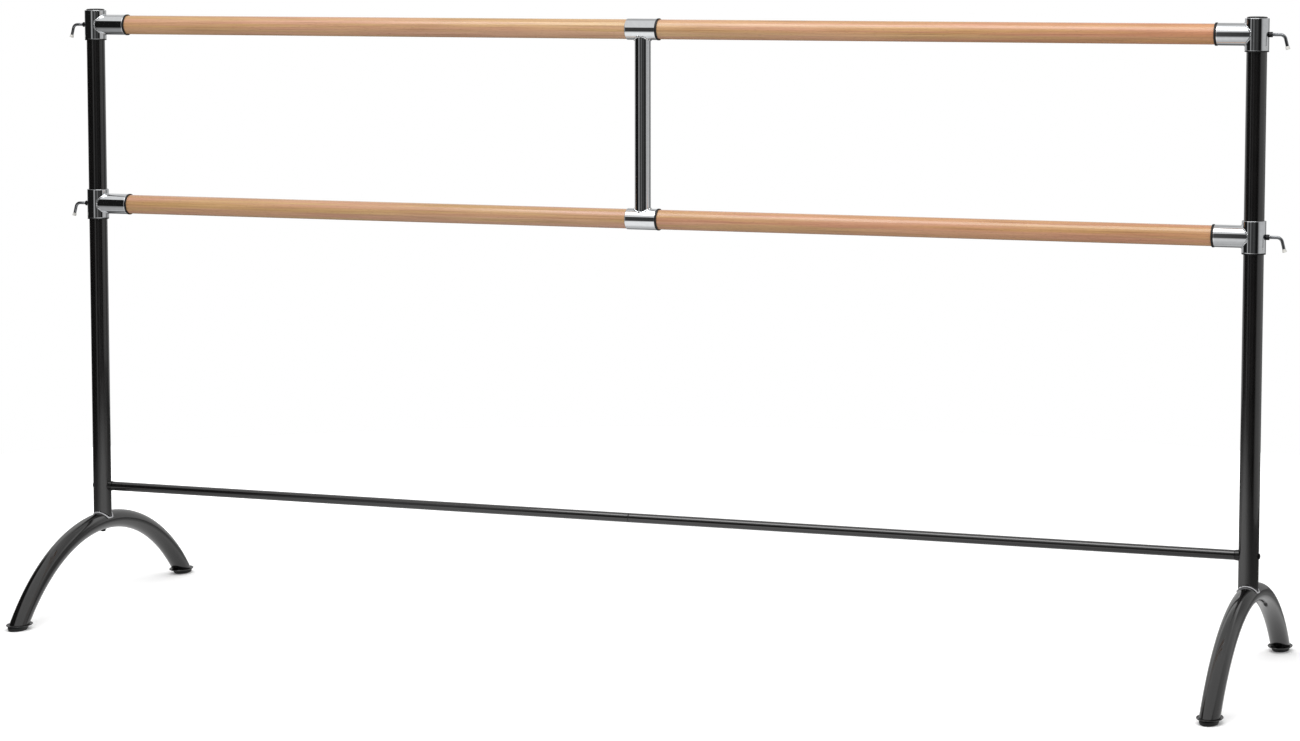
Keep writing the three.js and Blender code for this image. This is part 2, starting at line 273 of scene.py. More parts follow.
def turn(shape, angle, axis):
    bmesh.ops.rotate(shape, verts=shape.verts, cent=(0, 0, 0), matrix=Matrix.Rotation(angle, 3, axis))
    return shape


def along_x(shape):
    """Turns a shape made along Z so that it runs along +X."""
    return turn(shape, math.pi / 2, "Y")


def bend(shape, move):
    """Moves each point of a shape to where move(point) says."""
    for vert in shape.verts:
        vert.co = move(vert.co)
    return shape


def add_piece(name, shape, material, body, place=Matrix.Identity(4), replaces=(), slot=""):
    """Makes a shape an object with its place in its mesh, which rides on a body and stands for CAD nodes."""
    shape.transform(place)
    for face in shape.faces:
        face.smooth = True
    for edge in shape.edges:
        edge.smooth = not edge.is_manifold or edge.calc_face_angle() < SHARP
    mesh = bpy.data.meshes.new(name)
    shape.to_mesh(mesh)
    shape.free()
    mesh.materials.append(material)
    piece = bpy.data.objects.new(name, mesh)
    bpy.context.scene.collection.objects.link(piece)
    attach(piece, body)
    if replaces:
        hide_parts(*replaces)
    return piece


# ----------------------------------------------------------------------------------- node helpers


def add_node(tree, kind, inputs=None, **settings):
    """Adds a node. Settings name its properties; inputs name its sockets, with a value or what feeds it."""
    node = tree.nodes.new(kind)
    for name, value in settings.items():
        setattr(node, name, value)
    for name, value in (inputs or {}).items():
        if isinstance(value, bpy.types.NodeSocket):
            tree.links.new(value, node.inputs[name])
        else:
            node.inputs[name].default_value = value
    return node


def start_material(name):
    """A new material with the object's own coordinates, which are in metres."""
    material = bpy.data.materials.new(name)
    material.use_nodes = True
    material.node_tree.nodes.clear()
    place = add_node(material.node_tree, "ShaderNodeTexCoord").outputs["Object"]
    return material, material.node_tree, place


def finish_material(tree, shader_inputs):
    shader = add_node(tree, "ShaderNodeBsdfPrincipled", shader_inputs)
    add_node(tree, "ShaderNodeOutputMaterial", {"Surface": shader.outputs["BSDF"]})


def stretch(tree, place, size, offset=(0, 0, 0), rotation=(0, 0, 0)):
    """Coordinates scaled so that one unit of a pattern is size long along each axis."""
    mapping = add_node(
        tree,
        "ShaderNodeMapping",
        {"Vector": place, "Location": offset, "Rotation": rotation, "Scale": [1 / s for s in size]},
    )
    return mapping.outputs["Vector"]


def noise(tree, vector, detail=3.0, roughness=0.5):
    inputs = {"Vector": vector, "Scale": 1.0, "Detail": detail, "Roughness": roughness}
    return add_node(tree, "ShaderNodeTexNoise", inputs).outputs["Fac"]


def remap(tree, value, low, high, from_low=0.3, from_high=0.7):
    """A pattern's value spread over a range. A noise stays mostly between 0.3 and 0.7."""
    inputs = {"Value": value, "From Min": from_low, "From Max": from_high, "To Min": low, "To Max": high}
    return add_node(tree, "ShaderNodeMapRange", inputs).outputs["Result"]


def mix_colour(tree, factor, first, second, blend="MIX"):
    node = add_node(tree, "ShaderNodeMix", data_type="RGBA", blend_type=blend)
    for name, value in (("Factor_Float", factor), ("A_Color", first), ("B_Color", second)):
        socket = next(s for s in node.inputs if s.identifier == name)
        if isinstance(value, bpy.types.NodeSocket):
            tree.links.new(value, socket)
        else:
            socket.default_value = value
    return next(s for s in node.outputs if s.identifier == "Result_Color")


def bump(tree, height, distance, strength=1.0, under=None):
    inputs = {"Height": height, "Distance": distance, "Strength": strength}
    if under is not None:
        inputs["Normal"] = under
    return add_node(tree, "ShaderNodeBump", inputs).outputs["Normal"]


def shade(colour, amount):
    """A colour made lighter or darker by a factor, with alpha."""
    return (*[min(1.0, c * amount) for c in colour], 1.0)


# -------------------------------------------------------------------------------------- materials


def powder_coat():
    """Polyester powder coat on steel tube. Its film cures glossy with a slight orange peel."""
    colours = bpy.context.scene.barre_colours
    material, tree, place = start_material("black_powder_coat")
    # Real orange peel is 1 to 2 mm across; 3 mm is the finest that shows at this distance.
    peel = noise(tree, stretch(tree, place, (3 * MM,) * 3), detail=2.0)
    film = noise(tree, stretch(tree, place, (45 * MM,) * 3), detail=4.0)
    dust = noise(tree, stretch(tree, place, (1.5 * MM, 1.5 * MM, 25 * MM)), detail=2.0)
    base = mix_colour(
        tree, remap(tree, film, 0.0, 1.0), shade(colours.powder_coat, 0.85), shade(colours.powder_coat, 1.3)
    )
    rough = remap(tree, dust, 0.13, 0.22)
    finish_material(
        tree,
        {
            "Base Color": base,
            "Roughness": rough,
            "IOR": 1.55,
            "Coat Weight": 0.9,
            "Coat Roughness": 0.05,
            "Normal": bump(tree, peel, 0.03 * MM, 0.3),
        },
    )
    return material


def chrome_plate():
    """Bright chrome on steel. It mirrors the room, with a faint waviness left by polishing the tube."""
    colours = bpy.context.scene.barre_colours
    material, tree, place = start_material("chrome_plate")
    wave = noise(tree, stretch(tree, place, (22 * MM,) * 3), detail=2.0)
    wipe = noise(tree, stretch(tree, place, (9 * MM, 9 * MM, 5 * MM)), detail=5.0, roughness=0.6)
    duller, brighter = shade(colours.chrome, 0.93), shade(colours.chrome, 1.05)
    tint = mix_colour(tree, remap(tree, wipe, 0.0, 1.0), duller, brighter)
    finish_material(
        tree,
        {
            "Base Color": tint,
            "Metallic": 1.0,
            "Roughness": remap(tree, wipe, 0.02, 0.05),
            "Normal": bump(tree, wave, 0.1 * MM, 0.15),
        },
    )
    return material


def weld_chrome():
    """Weld bead under chrome plate: the ripples of the run show as small scales, darker in their valleys as
    painted shade and a little lighter on their crests as a painted highlight.
    """
    colours = bpy.context.scene.barre_colours
    material, tree, place = start_material("chrome_plated_weld")
    ripple = noise(tree, stretch(tree, place, (2.2 * MM,) * 3), detail=2.0)
    # Painted shade in the ripples' valleys and a painted highlight on their crests, following the same
    # pattern as the bump.
    shaded_valley, highlit_crest = shade(colours.chrome, 0.7), shade(colours.chrome, 1.05)
    tint = mix_colour(tree, remap(tree, ripple, 0.0, 1.0), shaded_valley, highlit_crest)
    finish_material(
        tree,
        {
            "Base Color": tint,
            "Metallic": 1.0,
            "Roughness": remap(tree, ripple, 0.16, 0.3),
            "Normal": bump(tree, ripple, 0.5 * MM, 0.6),
        },
    )
    return material


def varnished_beech(name, offset, span, redness, paleness):
    """Steamed beech under a thin varnish: straight grain with soft growth bands and short dark flecks.

    The board spans (from, to) along X, and its redness runs from one value to another over that span.
    """
    colours = bpy.context.scene.barre_colours
    material, tree, place = start_material(name)
    shifted = stretch(tree, place, (1, 1, 1), offset=offset)

    # Growth rings round a pith 70 mm off the barre, tilted so that they drift along it as long bands.
    ring_spacing = 5 * MM
    pith = stretch(tree, shifted, (1, 1, 1), offset=(0, 0.05, 0.07), rotation=(0, 0.012, 0.02))
    rings = add_node(
        tree,
        "ShaderNodeTexWave",
        {
            "Vector": pith,
            "Scale": math.tau / 20 / ring_spacing,
            "Distortion": 3.0,
            "Detail": 2.0,
            "Detail Scale": 0.6,
        },
        wave_type="RINGS",
        rings_direction="X",
    ).outputs["Fac"]
    # Fibres are under 0.1 mm; streaks of 1.6 mm are the finest that show at this distance.
    fibre = noise(tree, stretch(tree, shifted, (170 * MM, 1.6 * MM, 1.6 * MM)), detail=5.0, roughness=0.6)
    streak = noise(tree, stretch(tree, shifted, (420 * MM, 9 * MM, 9 * MM)), detail=3.0)
    patch = noise(tree, stretch(tree, shifted, (260 * MM, 45 * MM, 45 * MM)), detail=2.0)
    vein = noise(tree, stretch(tree, shifted, (230 * MM, 3 * MM, 3 * MM), offset=(7, 3, 1)), detail=2.0)
    fleck = noise(tree, stretch(tree, shifted, (9 * MM, 1.1 * MM, 1.1 * MM)), detail=1.0)

    pale = [c * paleness for c in colours.beech_pale]
    deep = [c * paleness for c in colours.beech_deep]
    grain = mix_colour(tree, remap(tree, fibre, 0.0, 1.0), shade(pale, 1.0), shade(deep, 1.0))
    banded = mix_colour(tree, remap(tree, rings, 0.0, 0.3, 0.0, 1.0), grain, shade(deep, 0.9))
    # Pink and yellow-tan streaks lie side by side along the grain.
    pink, tan = (1.03, 0.94, 1.2, 1), (0.97, 1.05, 0.82, 1)
    hue = mix_colour(tree, remap(tree, streak, 0.0, 1.0, 0.4, 0.6), pink, tan)
    streaked = mix_colour(tree, 1.0, banded, hue, blend="MULTIPLY")
    blotched = mix_colour(tree, remap(tree, patch, 0.0, 0.4), streaked, shade(pale, 1.12))
    veined = mix_colour(tree, remap(tree, vein, 0.0, 0.5, 0.55, 0.72), blotched, shade(deep, 0.7))
    flecked = mix_colour(tree, remap(tree, fleck, 0.0, 0.35, 0.6, 0.72), veined, shade(deep, 0.62))
    along = add_node(tree, "ShaderNodeSeparateXYZ", {"Vector": place}).outputs["X"]
    ends = [(1.0, 0.96 - 0.12 * red, 0.92 - 0.2 * red, 1.0) for red in redness]
    tint = mix_colour(tree, remap(tree, along, 0.0, 1.0, *span), *ends)
    tinted = mix_colour(tree, 1.0, flecked, tint, blend="MULTIPLY")
    finish_material(
        tree,
        {
            "Base Color": tinted,
            "Roughness": remap(tree, fibre, 0.36, 0.48),
            "IOR": 1.5,
            "Coat Weight": 0.8,
            "Coat Roughness": 0.2,
            "Normal": bump(tree, fibre, 0.08 * MM, 0.5),
        },
    )
    return material


def moulded(name, colour, roughness, grit, depth, ior=1.5):
    """A moulded rubber or plastic with the fine grit of its mould and a faint handling sheen."""
    material, tree, place = start_material(name)
    grain = noise(tree, stretch(tree, place, (grit,) * 3), detail=2.0)
    wear = noise(tree, stretch(tree, place, (12 * MM,) * 3), detail=4.0)
    base = mix_colour(tree, remap(tree, wear, 0.0, 1.0), shade(colour, 0.85), shade(colour, 1.25))
    finish_material(
        tree,
        {
            "Base Color": base,
            "Roughness": remap(tree, wear, roughness - 0.06, roughness + 0.06),
            "IOR": ior,
            "Normal": bump(tree, grain, depth, 0.6),
        },
    )
    return material


def bare_metal(name, colour, roughness, metallic):
    """Plated or blackened steel: turned or drawn, so its fine marks run round it."""
    material, tree, place = start_material(name)
    marks = noise(tree, stretch(tree, place, (0.8 * MM, 6 * MM, 6 * MM)), detail=3.0)
    cloud = noise(tree, stretch(tree, place, (7 * MM,) * 3), detail=3.0)
    base = mix_colour(tree, remap(tree, cloud, 0.0, 1.0), shade(colour, 0.82), shade(colour, 1.1))
    finish_material(
        tree,
        {
            "Base Color": base,
            "Metallic": metallic,
            "Roughness": remap(tree, marks, roughness - 0.08, roughness + 0.1),
            "Normal": bump(tree, marks, 0.05 * MM, 0.4),
        },
    )
    return material


MATERIALS = {}


def finish_of(slot):
    """The material of a record slot, made once."""
    colours = bpy.context.scene.barre_colours
    makers = {
        "black_powder_coat": powder_coat,
        "chrome_plate": chrome_plate,
        "weld": weld_chrome,
        "black_rubber": lambda: moulded("moulded_rubber", colours.rubber, 0.62, 0.7 * MM, 0.1 * MM, 1.52),
        "black_nylon": lambda: moulded("moulded_nylon", colours.nylon, 0.2, 0.9 * MM, 0.03 * MM, 1.53),
        "grey_gasket": lambda: moulded("moulded_grey_vinyl", colours.gasket, 0.42, 0.8 * MM, 0.05 * MM),
        "pale_plastic": lambda: moulded("moulded_polythene", colours.tip, 0.3, 1.2 * MM, 0.04 * MM, 1.51),
        "zinc_plated_steel": lambda: bare_metal("bright_zinc_plate", colours.zinc, 0.24, 1.0),
        "black_steel_fasteners": lambda: bare_metal("blackened_steel", colours.black_steel, 0.36, 0.7),
    }
    if slot not in MATERIALS:
        MATERIALS[slot] = makers[slot]()
    return MATERIALS[slot]


# ------------------------------------------------------------------------------- stand: the shapes


def leg_surface(x, y, clearance, upper=True):
    """Height of the leg's top, or of its underside, at a point near the post's axis."""
    reach = math.sqrt(max(0.0, (LEG_RADIUS + clearance) ** 2 - x * x))
    ring = LEG_BEND + (reach if upper else -reach)
    return LEG_CENTRE + math.sqrt(ring * ring - y * y)


def post_shape():
    """The post's tube. Its foot is coped to sit on the leg, and its top is closed by the plug."""
    foot = LEG_CROWN + LEG_RADIUS
    shape = tube(POST_RADIUS, POST_RADIUS - POST_WALL, foot, POST_TOP, 0.3 * MM)
    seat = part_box("left_saddle_gasket")[1].z - LEG_CROWN - LEG_RADIUS
    near_foot = foot + COLLAR + 0.1 * MM

    def cope(point):
        if point.z > near_foot:
            return point
        return Vector((point.x, point.y, leg_surface(point.x, point.y, seat) + point.z - foot))

    return bend(shape, cope)


def plug_shape():
    """The domed plug, with the small step where its head sits on the tube."""
    low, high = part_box("left_post_plug")
    stem = POST_RADIUS - POST_WALL - GAP
    head = POST_TOP + GAP
    return revolve(
        [
            (0, low.z),
            (stem - 1 * MM, low.z),
            (stem, low.z + 2 * MM),
            (stem, head),
            (POST_RADIUS - 0.3 * MM, head),
            (POST_RADIUS, head + 0.3 * MM),
            (POST_RADIUS, head + 1.0 * MM),
            (POST_RADIUS - 0.7 * MM, head + 1.9 * MM),
            (POST_RADIUS - 2.4 * MM, head + 2.5 * MM),
            (POST_RADIUS * 0.6, high.z - 0.25 * MM),
            (POST_RADIUS * 0.3, high.z - 0.05 * MM),
            (0, high.z),
        ]
    )


def leg_shape():
    """A round tube bent to one arc, cut level at its feet."""
    shape = bmesh.new()
    reach = math.acos((LEG_FOOT - 25 * MM - LEG_CENTRE) / LEG_BEND)
    upright = Matrix.Translation((0, 0, LEG_CROWN)) @ Matrix.Rotation(math.pi / 2, 4, "X")
    bmesh.ops.create_circle(shape, cap_ends=False, radius=LEG_RADIUS, segments=ROUND, matrix=upright)
    centre = Vector((0, 0, LEG_CENTRE))
    bmesh.ops.rotate(shape, verts=shape.verts, cent=centre, matrix=Matrix.Rotation(-reach, 3, "X"))
    bmesh.ops.spin(
        shape, geom=shape.verts[:] + shape.edges[:], cent=centre, axis=(1, 0, 0), angle=2 * reach, steps=120
    )
    bmesh.ops.bisect_plane(
        shape,
        geom=shape.verts[:] + shape.edges[:] + shape.faces[:],
        plane_co=(0, 0, LEG_FOOT),
        plane_no=(0, 0, 1),
        clear_inner=True,
    )
    bmesh.ops.holes_fill(shape, edges=[e for e in shape.edges if e.is_boundary])
    bmesh.ops.recalc_face_normals(shape, faces=shape.faces)
    return shape


def gasket_shape(half_width):
    """The pale bead that follows the joint between the post's coped foot and the leg."""
    radius = half_size("left_saddle_gasket").y - half_width
    shape = bead(radius, half_width)
    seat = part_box("left_saddle_gasket")[1].z - LEG_CROWN - LEG_RADIUS - half_width

    def drape(point):
        side = max(-LEG_RADIUS, min(LEG_RADIUS, point.x))
        return point + Vector((0, 0, leg_surface(side, point.y, seat)))

    return bend(shape, drape)


def button_head(radius, height, socket, depth):
    """A button head along -Z with a hexagon socket; its underside is at z 0."""
    shape = revolve(
        [
            (0, 0),
            (radius - 0.2 * MM, 0),
            (radius, -0.3 * MM),
            (radius * 0.97, -height * 0.35),
            (radius * 0.84, -height * 0.72),
            (radius * 0.62, -height * 0.95),
            (radius * 0.5, -height),
            (socket, -height),
            (socket * 0.98, depth - height),
            (0, depth - height),
        ],
        SMALL_ROUND,
    )

    def hexagon(point):
        flat = math.hypot(point.x, point.y)
        if flat > socket + 0.01 * MM or point.z > -0.2 * MM:
            return point
        angle = math.atan2(point.y, point.x) % SIXTH - SIXTH / 2
        reach = math.cos(SIXTH / 2) / math.cos(angle)
        return Vector((point.x * reach, point.y * reach, point.z))

    return bend(shape, hexagon)


def washer_shape():
    """The curved washer between the leg's underside and the bolt's head."""
    radius = half_size("left_leg_washer").x
    shape = tube(radius, WASHER_BORE, 0.0, WASHER, 0.25 * MM, SMALL_ROUND)
    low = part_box("left_leg_washer")[0].z
    crown = LEG_CROWN - LEG_RADIUS
    gap = crown - low - WASHER

    def cup(point):
        return Vector((point.x, point.y, leg_surface(point.x, point.y, gap, upper=False) + point.z - WASHER))

    return bend(shape, cup)


def foot_cap_shape(node):
    """The dished oval plate that closes the leg's end, with a spigot up the tube."""
    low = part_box(node)[0]
    top = low.z + PLATE
    rim = half_size(node).x
    shape = revolve(
        [
            (0, low.z),
            (rim - 3.2 * MM, low.z),
            (rim - 1.0 * MM, low.z + 0.7 * MM),
            (rim - 0.2 * MM, low.z + 1.6 * MM),
            (rim, low.z + 2.3 * MM),
            (rim - 0.3 * MM, top - 0.1 * MM),
            (rim - 1.1 * MM, top),
            (rim - 2.2 * MM, top - 0.5 * MM),
            (LEG_RADIUS + 1.2 * MM, top - 1.0 * MM),
            (LEG_RADIUS - 1.0 * MM, top - 0.8 * MM),
            (LEG_RADIUS - 2.5 * MM, top),
            (0, top),
        ]
    )
    bmesh.ops.scale(shape, verts=shape.verts, vec=(1, plate_length(node) / rim, 1))
    return shape


def plate_length(node):
    """Half the foot plate's length along Y, with the same margin round the tube's cut as at its sides."""
    cut = LEG_RADIUS * LEG_BEND / (LEG_FOOT - LEG_CENTRE)
    return cut + half_size(node).x - LEG_RADIUS


def foot_pad_shape(node):
    """The bulging rubber sole with two shallow grooves round it."""
    size = half_size(node)
    height = 2 * size.z
    wide = size.x
    shape = revolve(
        [
            (0, 0),
            (wide * 0.84, 0),
            (wide * 0.91, 0.5 * MM),
            (wide * 0.95, 1.9 * MM),
            (wide * 0.94, 2.3 * MM),
            (wide * 0.96, 2.7 * MM),
            (wide * 0.985, 4.4 * MM),
            (wide * 0.975, 4.8 * MM),
            (wide * 0.99, 5.2 * MM),
            (wide, 6.6 * MM),
            (wide * 0.98, height),
            (0, height),
        ]
    )
    bmesh.ops.scale(shape, verts=shape.verts, vec=(1, size.y / wide, 1))
    return shape


def tie_rod_shape(side):
    """Half of the tie rod, from its spacer to the joint, which shows as a small groove."""
    low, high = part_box(f"{side}_tie_rod")
    return along_x(rod(TIE_RADIUS, low.x, high.x, 0.6 * MM, SMALL_ROUND))


def spacer_shape():
    """The slightly flared spacer that seats the tie rod on the round post."""
    radius = half_size("left_tie_spacer").z
    end = -POST_RADIUS - SPACER_LENGTH
    shape = revolve(
        [
            (TIE_BOLT_HOLE, end),
            (radius - 0.9 * MM, end),
            (radius - 0.5 * MM, end + 0.4 * MM),
            (radius - 0.3 * MM, end + SPACER_LENGTH * 0.5),
            (radius - 0.1 * MM, -POST_RADIUS - 0.6 * MM),
            (radius, -POST_RADIUS),
            (TIE_BOLT_HOLE, -POST_RADIUS),
            (TIE_BOLT_HOLE, end),
        ],
        SMALL_ROUND,
    )
    along_x(shape)
    seat = POST_RADIUS + GAP

    def cope(point):
        offset = point.x + POST_RADIUS
        if offset < -0.7 * MM:
            return point
        return Vector((offset - math.sqrt(seat * seat - point.y * point.y), point.y, point.z))

    return bend(shape, cope)


# ------------------------------------------------------------------------- barre frame: the shapes


def sleeve_shape(rim):
    """The tee's upright sleeve."""
    return tube(SLEEVE_RADIUS, SLEEVE_BORE, -SLEEVE_HALF, SLEEVE_HALF, rim)


def socket_shape(rim):
    """The tee's socket, coped into the sleeve's wall at its inner end."""
    shape = along_x(tube(SOCKET_RADIUS, SOCKET_BORE, -SOCKET_MOUTH, -SOCKET_INNER_END, rim))
    seat = SLEEVE_RADIUS - WELD_BITE

    def cope(point):
        offset = point.x + SOCKET_INNER_END
        if offset < -COLLAR - 0.1 * MM:
            return point
        return Vector((offset - math.sqrt(seat * seat - point.y * point.y), point.y, point.z))

    return bend(shape, cope)


def ripple(angle, count, depth):
    """The scale of a weld bead at an angle round it, which swells and narrows with each ripple."""
    return 1 + depth * math.sin(count * angle) + 0.5 * depth * math.sin(count * 0.37 * angle + 1.3)


def weld_ring(radius, half_width, count, depth):
    """A weld bead about Z whose section swells and narrows along the run."""
    shape = bead(radius, half_width, segments=ROUND * 2)

    def swell(point):
        angle = math.atan2(point.y, point.x)
        core = Vector((math.cos(angle) * radius, math.sin(angle) * radius, 0))
        return core + (point - core) * ripple(angle, count, depth)

    return bend(shape, swell)


def tee_weld_shape(half_width):
    """The bead along the V where the socket meets the sleeve."""
    shape = along_x(weld_ring(SOCKET_RADIUS, half_width, count=44, depth=0.16))

    def onto_sleeve(point):
        across = max(-SOCKET_RADIUS, min(SOCKET_RADIUS, point.y))
        return point - Vector((math.sqrt(SLEEVE_RADIUS**2 - across**2), 0, 0))

    return bend(shape, onto_sleeve)


def liner_shape():
    """The liner between the sleeve and the post, with a lip under the sleeve."""
    high = SLEEVE_HALF - 1 * MM
    low = high - 2 * half_size("upper_left_tee_liner").z
    section = [
        (LINER_BORE, low),
        (SLEEVE_RADIUS, low),
        (SLEEVE_RADIUS, low + LINER_LIP),
        (LINER_OUTER, low + LINER_LIP),
        (LINER_OUTER, high),
        (LINER_BORE, high),
        (LINER_BORE, low),
    ]
    return soften(revolve(section), 0.3 * MM)


def ring_shape():
    """A thin ring round the barre at a socket's mouth, made about X and centred."""
    half = half_size("upper_left_bar_ring")
    return along_x(tube(half.y, BAR_RADIUS + 0.2 * MM, -half.x, half.x, 0.7 * MM))


def bar_shape(node):
    low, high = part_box(node)
    return along_x(rod(BAR_RADIUS, low.x, high.x, 1.0 * MM))


def coupling_sleeve_shape(rim):
    """One of the coupling's two sleeves, about X and centred."""
    half = half_size("centre_coupling").x
    return along_x(tube(SOCKET_RADIUS, SOCKET_BORE, -half, half, rim))


def strut_shape():
    """The upright tube between the coupling's sleeves, coped to them at both ends."""
    top, bottom = bar_height("upper"), bar_height("lower")
    seat = SOCKET_RADIUS - WELD_BITE
    middle_height = (top + bottom) / 2
    shape = tube(STRUT_RADIUS, STRUT_RADIUS - STRUT_WALL, bottom, top, 0.2 * MM)

    def cope(point):
        depth = math.sqrt(seat * seat - point.y * point.y)
        return point + Vector((0, 0, -depth if point.z > middle_height else depth))

    return bend(shape, cope)


def coupling_weld_shape(half_width, level):
    """The lumpy bead between the strut and one sleeve."""
    shape = weld_ring(STRUT_RADIUS, half_width, count=19, depth=0.24)
    sign = 1 if level == "lower" else -1
    height = bar_height(level)

    def onto_sleeve(point):
        depth = math.sqrt(SOCKET_RADIUS**2 - min(abs(point.y), STRUT_RADIUS) ** 2)
        return point + Vector((0, 0, height + sign * depth))

    return bend(shape, onto_sleeve)


# ----------------------------------------------------------------------------- hand screws: shapes

SCREW_RADIUS = 3 * MM
SCREW_POINT = 19.3 * MM  # from the post's axis to the screw's point, just clear of the post
THREAD_DEPTH = 0.35 * MM
BEND_START = 43 * MM
BEND_REACH = 8 * MM  # from the corner of the screw's centreline to each end of the bend
HANDLE_LEAN = math.radians(14)
HANDLE_STRAIGHT = 18 * MM
TIP_RADIUS = 4.3 * MM
TIP_LENGTH = 6 * MM
TIP_OVERLAP = 4 * MM  # of the cap over the handle
BEND_TURN = math.pi / 2 - HANDLE_LEAN
HANDLE = Vector((math.sin(HANDLE_LEAN), 0, -math.cos(HANDLE_LEAN)))
HANDLE_END = Vector((BEND_START + BEND_REACH, 0, 0)) + HANDLE * (BEND_REACH + HANDLE_STRAIGHT)


def nut_shape():
    """A hexagon nut about X with chamfered corners, and the washer face towards the sleeve."""
    low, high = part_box("upper_right_lock_nut")
    post = middle("right_post").x
    start, end = low.x - post, high.x - post
    across = half_size("upper_right_lock_nut").z
    corner = across / math.cos(SIXTH / 2)
    chamfer = 0.7 * MM
    shape = revolve(
        [
            (SCREW_RADIUS + 0.15 * MM, start),
            (across, start),
            (corner, start + chamfer),
            (corner, end - chamfer),
            (across, end),
            (SCREW_RADIUS + 0.6 * MM, end),
            (SCREW_RADIUS + 0.15 * MM, end - 0.5 * MM),
            (SCREW_RADIUS + 0.15 * MM, start),
        ],
        NUT_ROUND,
    )
    along_x(shape)

    def hexagon(point):
        radius = math.hypot(point.y, point.z)
        angle = (math.atan2(point.z, point.y) + SIXTH / 2) % SIXTH - SIXTH / 2
        flat = across / math.cos(angle + (SIXTH / 2 if angle < 0 else -SIXTH / 2))
        if radius <= flat:
            return point
        return Vector((point.x, point.y * flat / radius, point.z * flat / radius))

    return bend(shape, hexagon)


def screw_shape(pitch):
    """The L-shaped screw: a thread through the nut, a smooth bend and a leaning handle."""
    thread_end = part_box("upper_right_lock_nut")[1].x - middle("right_post").x + 2 * MM
    root = SCREW_RADIUS - THREAD_DEPTH
    stations = []
    x = SCREW_POINT + 0.6 * MM
    while x + pitch < thread_end:
        stations += [(x, root), (x + pitch / 2, SCREW_RADIUS)]
        x += pitch
    stations += [
        (thread_end, root),
        (thread_end + 0.5 * MM, SCREW_RADIUS),
        (BEND_START - 1 * MM, SCREW_RADIUS),
        (BEND_START, SCREW_RADIUS),
    ]
    shape = bmesh.new()
    facing = Matrix.Translation((SCREW_POINT, 0, 0)) @ Matrix.Rotation(math.pi / 2, 4, "Y")
    start = SCREW_RADIUS - 0.6 * MM
    bmesh.ops.create_circle(shape, cap_ends=False, radius=start, segments=SMALL_ROUND, matrix=facing)
    ring, radius, at = shape.edges[:], start, SCREW_POINT
    for x, wide in stations:
        ring = extrude_ring(shape, ring, Vector((x - at, 0, 0)), wide / radius, Vector((x, 0, 0)))
        radius, at = wide, x
    bend_radius = BEND_REACH / math.tan(BEND_TURN / 2)
    verts = list({v for e in ring for v in e.verts})
    spun = bmesh.ops.spin(
        shape,
        geom=verts + ring,
        cent=(BEND_START, 0, -bend_radius),
        axis=(0, 1, 0),
        angle=BEND_TURN,
        steps=16,
    )
    ring = [g for g in spun["geom_last"] if isinstance(g, bmesh.types.BMEdge)]
    extrude_ring(shape, ring, HANDLE * HANDLE_STRAIGHT, 1.0, HANDLE_END)
    bmesh.ops.holes_fill(shape, edges=[e for e in shape.edges if e.is_boundary])
    bmesh.ops.recalc_face_normals(shape, faces=shape.faces)
    return shape


def extrude_ring(shape, ring, offset, scale, centre):
    """Extrudes a ring of edges by an offset, then scales it about a centre. Returns the new ring."""
    made = bmesh.ops.extrude_edge_only(shape, edges=ring)["geom"]
    verts = [g for g in made if isinstance(g, bmesh.types.BMVert)]
    bmesh.ops.translate(shape, verts=verts, vec=offset)
    about = Matrix.Translation(-centre)
    bmesh.ops.scale(shape, verts=verts, vec=(scale,) * 3, space=about)
    return [g for g in made if isinstance(g, bmesh.types.BMEdge) and all(v in verts for v in g.verts)]


def tip_shape():
    """The pale cap pushed on the handle's end, flared to its closed end."""
    end = TIP_OVERLAP - TIP_LENGTH
    bore = SCREW_RADIUS + 0.2 * MM
    shape = revolve(
        [
            (0, end),
            (TIP_RADIUS - 1.4 * MM, end + 0.05 * MM),
            (TIP_RADIUS - 0.5 * MM, end + 0.3 * MM),
            (TIP_RADIUS, end + 0.9 * MM),
            (TIP_RADIUS - 0.05 * MM, end + 1.7 * MM),
            (TIP_RADIUS - 0.5 * MM, TIP_OVERLAP - 1.5 * MM),
            (TIP_RADIUS - 0.7 * MM, TIP_OVERLAP - 0.2 * MM),
            (TIP_RADIUS - 0.9 * MM, TIP_OVERLAP),
            (bore, TIP_OVERLAP),
            (bore, -0.2 * MM),
            (0, -0.2 * MM),
        ],
        SMALL_ROUND,
    )
    turn(shape, -HANDLE_LEAN, "Y")
    bmesh.ops.translate(shape, verts=shape.verts, vec=HANDLE_END)
    return shape


# -------------------------------------------------------------------------------------- operators


class BARRE_OT_posts(bpy.types.Operator):
    """Adds the two black posts and their domed plugs"""

    bl_idname = "barre.posts"
    bl_label = "Posts"

    def execute(self, context):
        for side in SIDES:
            place = end_place(side)
            node = f"{side}_post"
            slot = "black_powder_coat"
            add_piece(f"{node}_tube", post_shape(), finish_of(slot), "stand", place, [node], slot)
            node = f"{side}_post_plug"
            slot = "black_nylon"
            add_piece(f"{node}_domed", plug_shape(), finish_of(slot), "stand", place, [node], slot)
        return {"FINISHED"}


